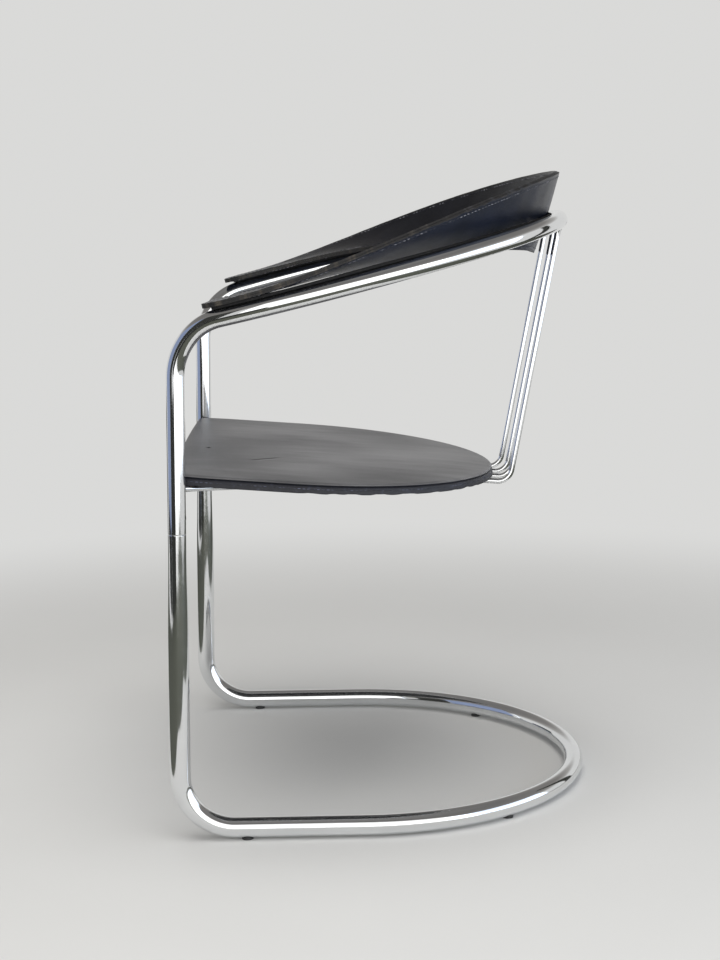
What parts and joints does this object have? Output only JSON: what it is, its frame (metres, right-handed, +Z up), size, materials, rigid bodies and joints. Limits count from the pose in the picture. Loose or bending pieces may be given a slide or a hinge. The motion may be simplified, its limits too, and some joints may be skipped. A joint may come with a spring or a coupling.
{
  "type": "cantilever lounge chair",
  "caption": "Cantilever armchair: bent chromed tubes form floor loop, legs, arms and back; D-shaped leather seat on steel rods, one leather band for arms and back.",
  "frame": {"origin": "on the floor, under the middle of the chair's bounding box", "axes": "+Z up, the chair faces -Y, +Y to the rear, +X to the sitter's left"},
  "size_m": [0.6844, 0.5401, 0.801],
  "materials": {
    "chrome_tube": "mirror-bright chrome plate on bent steel tube, with faint haze and fine scratches",
    "chrome_rod": "bright chrome plate on drawn steel rod",
    "steel": "plain zinc-bright steel",
    "black_steel": "matt black paint on steel strip",
    "lining": "black lining cloth, fine flat weave",
    "plywood": "birch plywood, unfinished",
    "foam": "dense thin upholstery foam",
    "seat_leather": "dark grey saddle leather, fine grain, satin, rubbed paler where people sit",
    "side_leather": "near-black saddle leather strip, stitched, creased and worn",
    "band_leather": "near-black saddle leather, fine grain, semi-gloss, with brown worn cut edges",
    "glide": "black moulded plastic"
  },
  "bodies": {
    "root": {"base_tube": "chrome_tube", "upper_tube": "chrome_tube", "left_spigot": "steel", "right_spigot": "steel", "spigot_screws": "black_steel", "front_bar": "chrome_tube", "left_outer_rod": "chrome_rod", "right_outer_rod": "chrome_rod", "left_inner_rod": "chrome_rod", "right_inner_rod": "chrome_rod", "rod_clips": "steel", "clip_screws": "steel", "seat_lining": "lining", "seat_board": "plywood", "seat_foam": "foam", "seat_cover": "seat_leather", "seat_side_strip": "side_leather", "support_strip": "black_steel", "strip_screws": "steel", "band_outer": "band_leather", "band_inner": "band_leather", "front_left_glide": "glide", "front_right_glide": "glide", "rear_left_glide": "glide", "rear_right_glide": "glide"}
  },
  "joints": []
}
